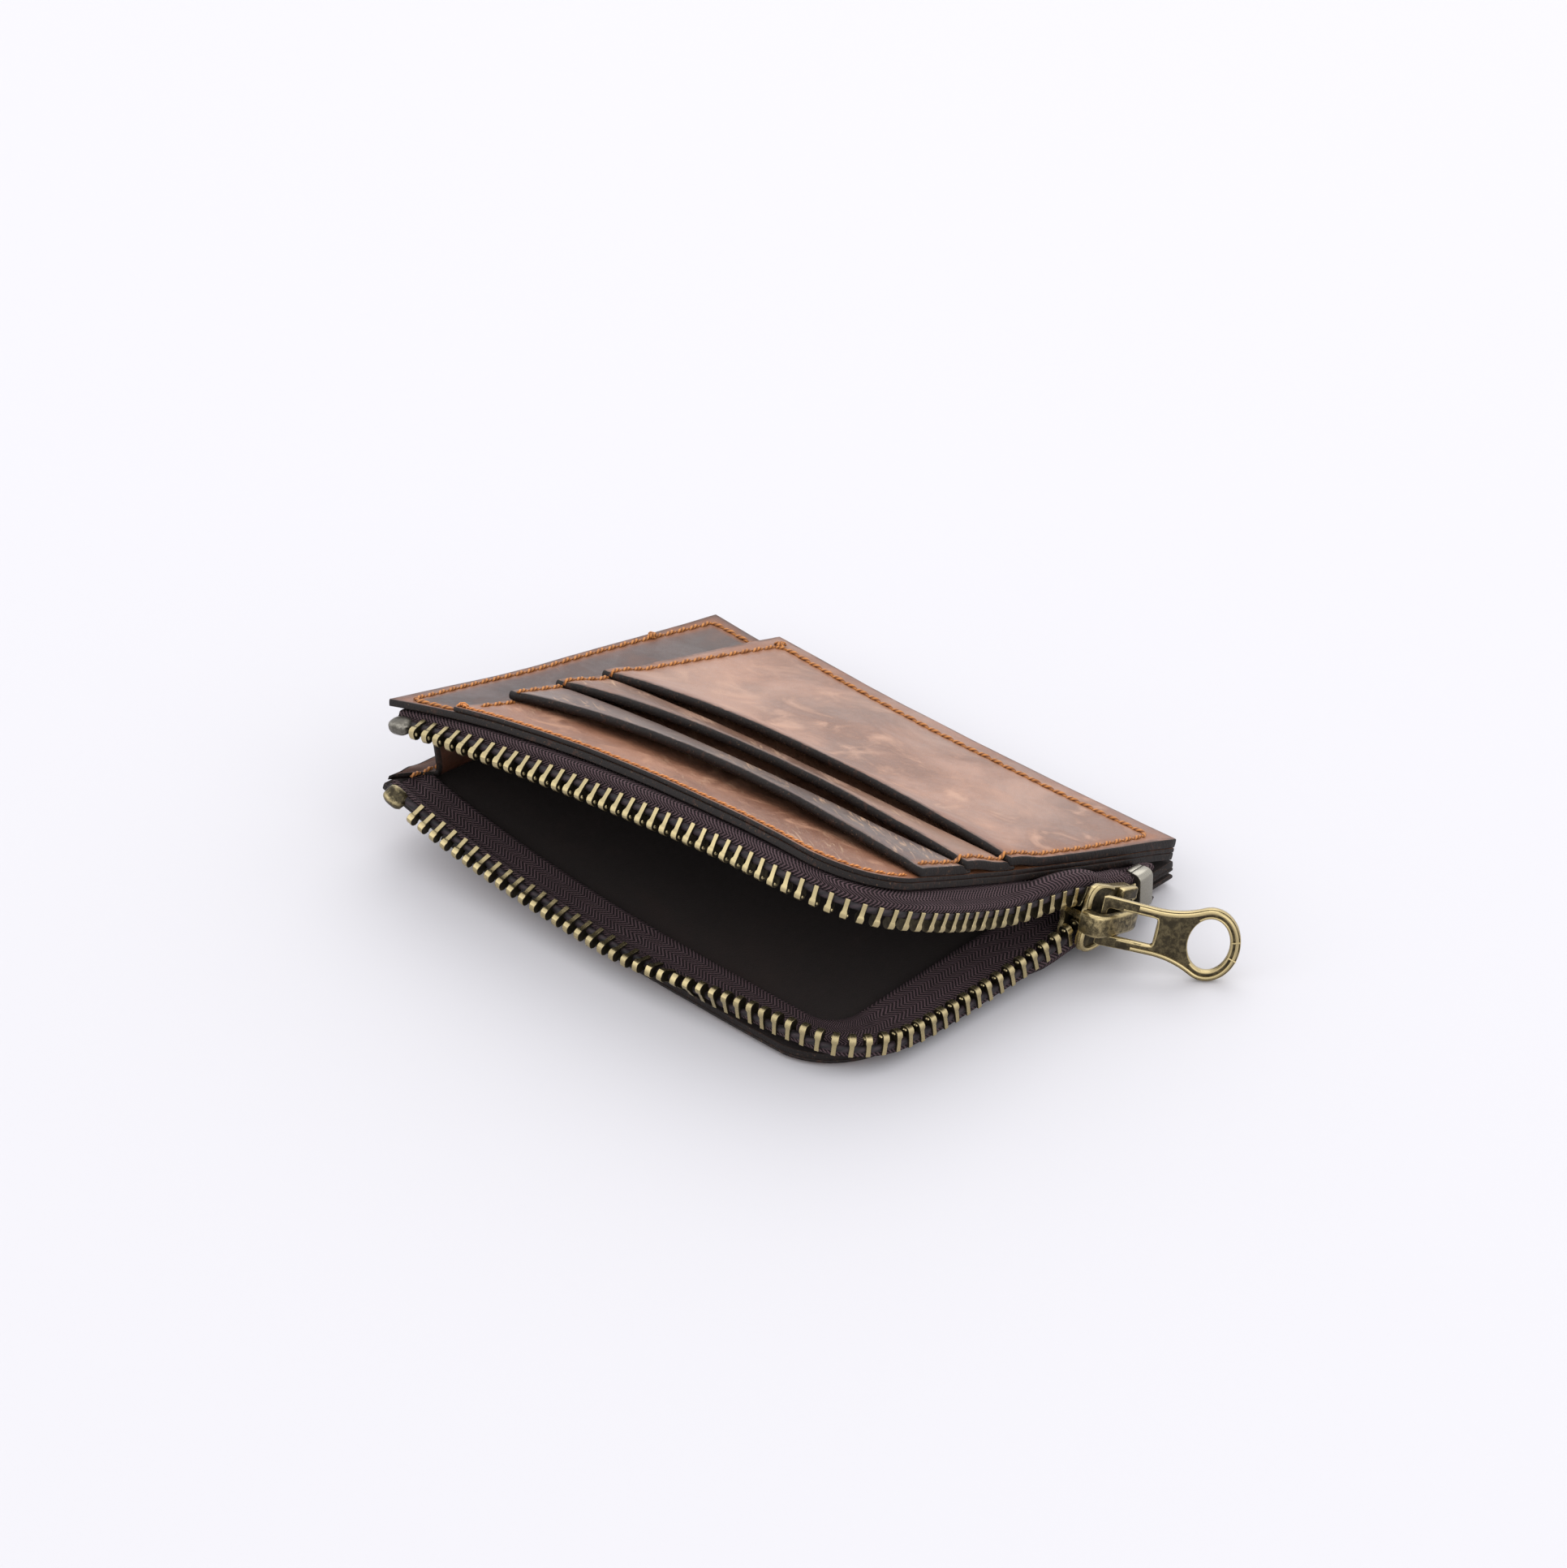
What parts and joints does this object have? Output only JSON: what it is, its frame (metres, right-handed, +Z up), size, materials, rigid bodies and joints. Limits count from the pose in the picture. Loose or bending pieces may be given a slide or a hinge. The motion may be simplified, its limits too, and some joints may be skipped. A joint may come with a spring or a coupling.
{
  "type": "zippered card pouch",
  "caption": "Flat leather card pouch with an L-shaped metal zipper, stepped card slots on both faces, a folded end gusset and a ring puller, lying open.",
  "frame": {"origin": "on the resting plane, under the middle of the leather panels", "axes": "+X along the long zipped edge from the gusset end to the slider end, -Y out of the long zipped edge, +Y towards the sewn back seam, +Z up out of the front face"},
  "size_m": [0.1376, 0.0898, 0.0388],
  "materials": {
    "shell_leather": "oiled pull-up leather, satin",
    "card_leather": "oiled pull-up leather, scuffed satin",
    "gusset_leather": "soft reddish leather, matte",
    "zip_tape": "herringbone woven tape, matte",
    "thread": "waxed twisted thread, satin",
    "brass": "antique, darkened in the recesses and worn bright on the edges",
    "steel": "dull"
  },
  "bodies": {
    "back_shell": {"back_panel": "shell_leather", "back_card_backing": "card_leather", "back_card_slot_1": "card_leather", "back_card_slot_2": "card_leather", "back_card_slot_3": "card_leather", "back_zip_tape": "zip_tape", "back_tooth_row": "brass", "back_top_stop": "brass", "gusset": "gusset_leather", "end_stop": "steel"},
    "front_shell": {"front_panel": "shell_leather", "front_card_backing": "card_leather", "front_card_slot_1": "card_leather", "front_card_slot_2": "card_leather", "front_card_slot_3": "card_leather", "front_card_thread": "thread", "front_zip_thread": "thread", "front_strip_thread": "thread", "front_zip_tape": "zip_tape", "front_tooth_row": "brass", "front_top_stop": "steel"},
    "slider": {"slider_body": "brass", "slider_bail": "brass"},
    "puller": {"puller": "brass"}
  },
  "joints": [
    {"name": "front_shell_opening", "type": "hinge", "parent": "back_shell", "child": "front_shell", "pos_m": [0, 0.0425, 0.004], "axis": [-1, 0, 0], "range_deg": [-4, 6], "deforming": ["gusset", "front_zip_tape", "front_tooth_row", "back_zip_tape", "back_tooth_row"]},
    {"name": "slider_travel", "type": "slide", "parent": "back_shell", "child": "slider", "axis": [0, -0.9563, 0.2924], "range_m": [-0.001, 0.006], "deforming": ["front_zip_tape", "front_tooth_row", "back_zip_tape", "back_tooth_row"]},
    {"name": "puller_swing", "type": "hinge", "parent": "slider", "child": "puller", "pos_m": [0.06308, 0.01432, 0.01028], "axis": [0.0124, 0.3016, 0.9534], "range_deg": [-115, 2]}
  ]
}
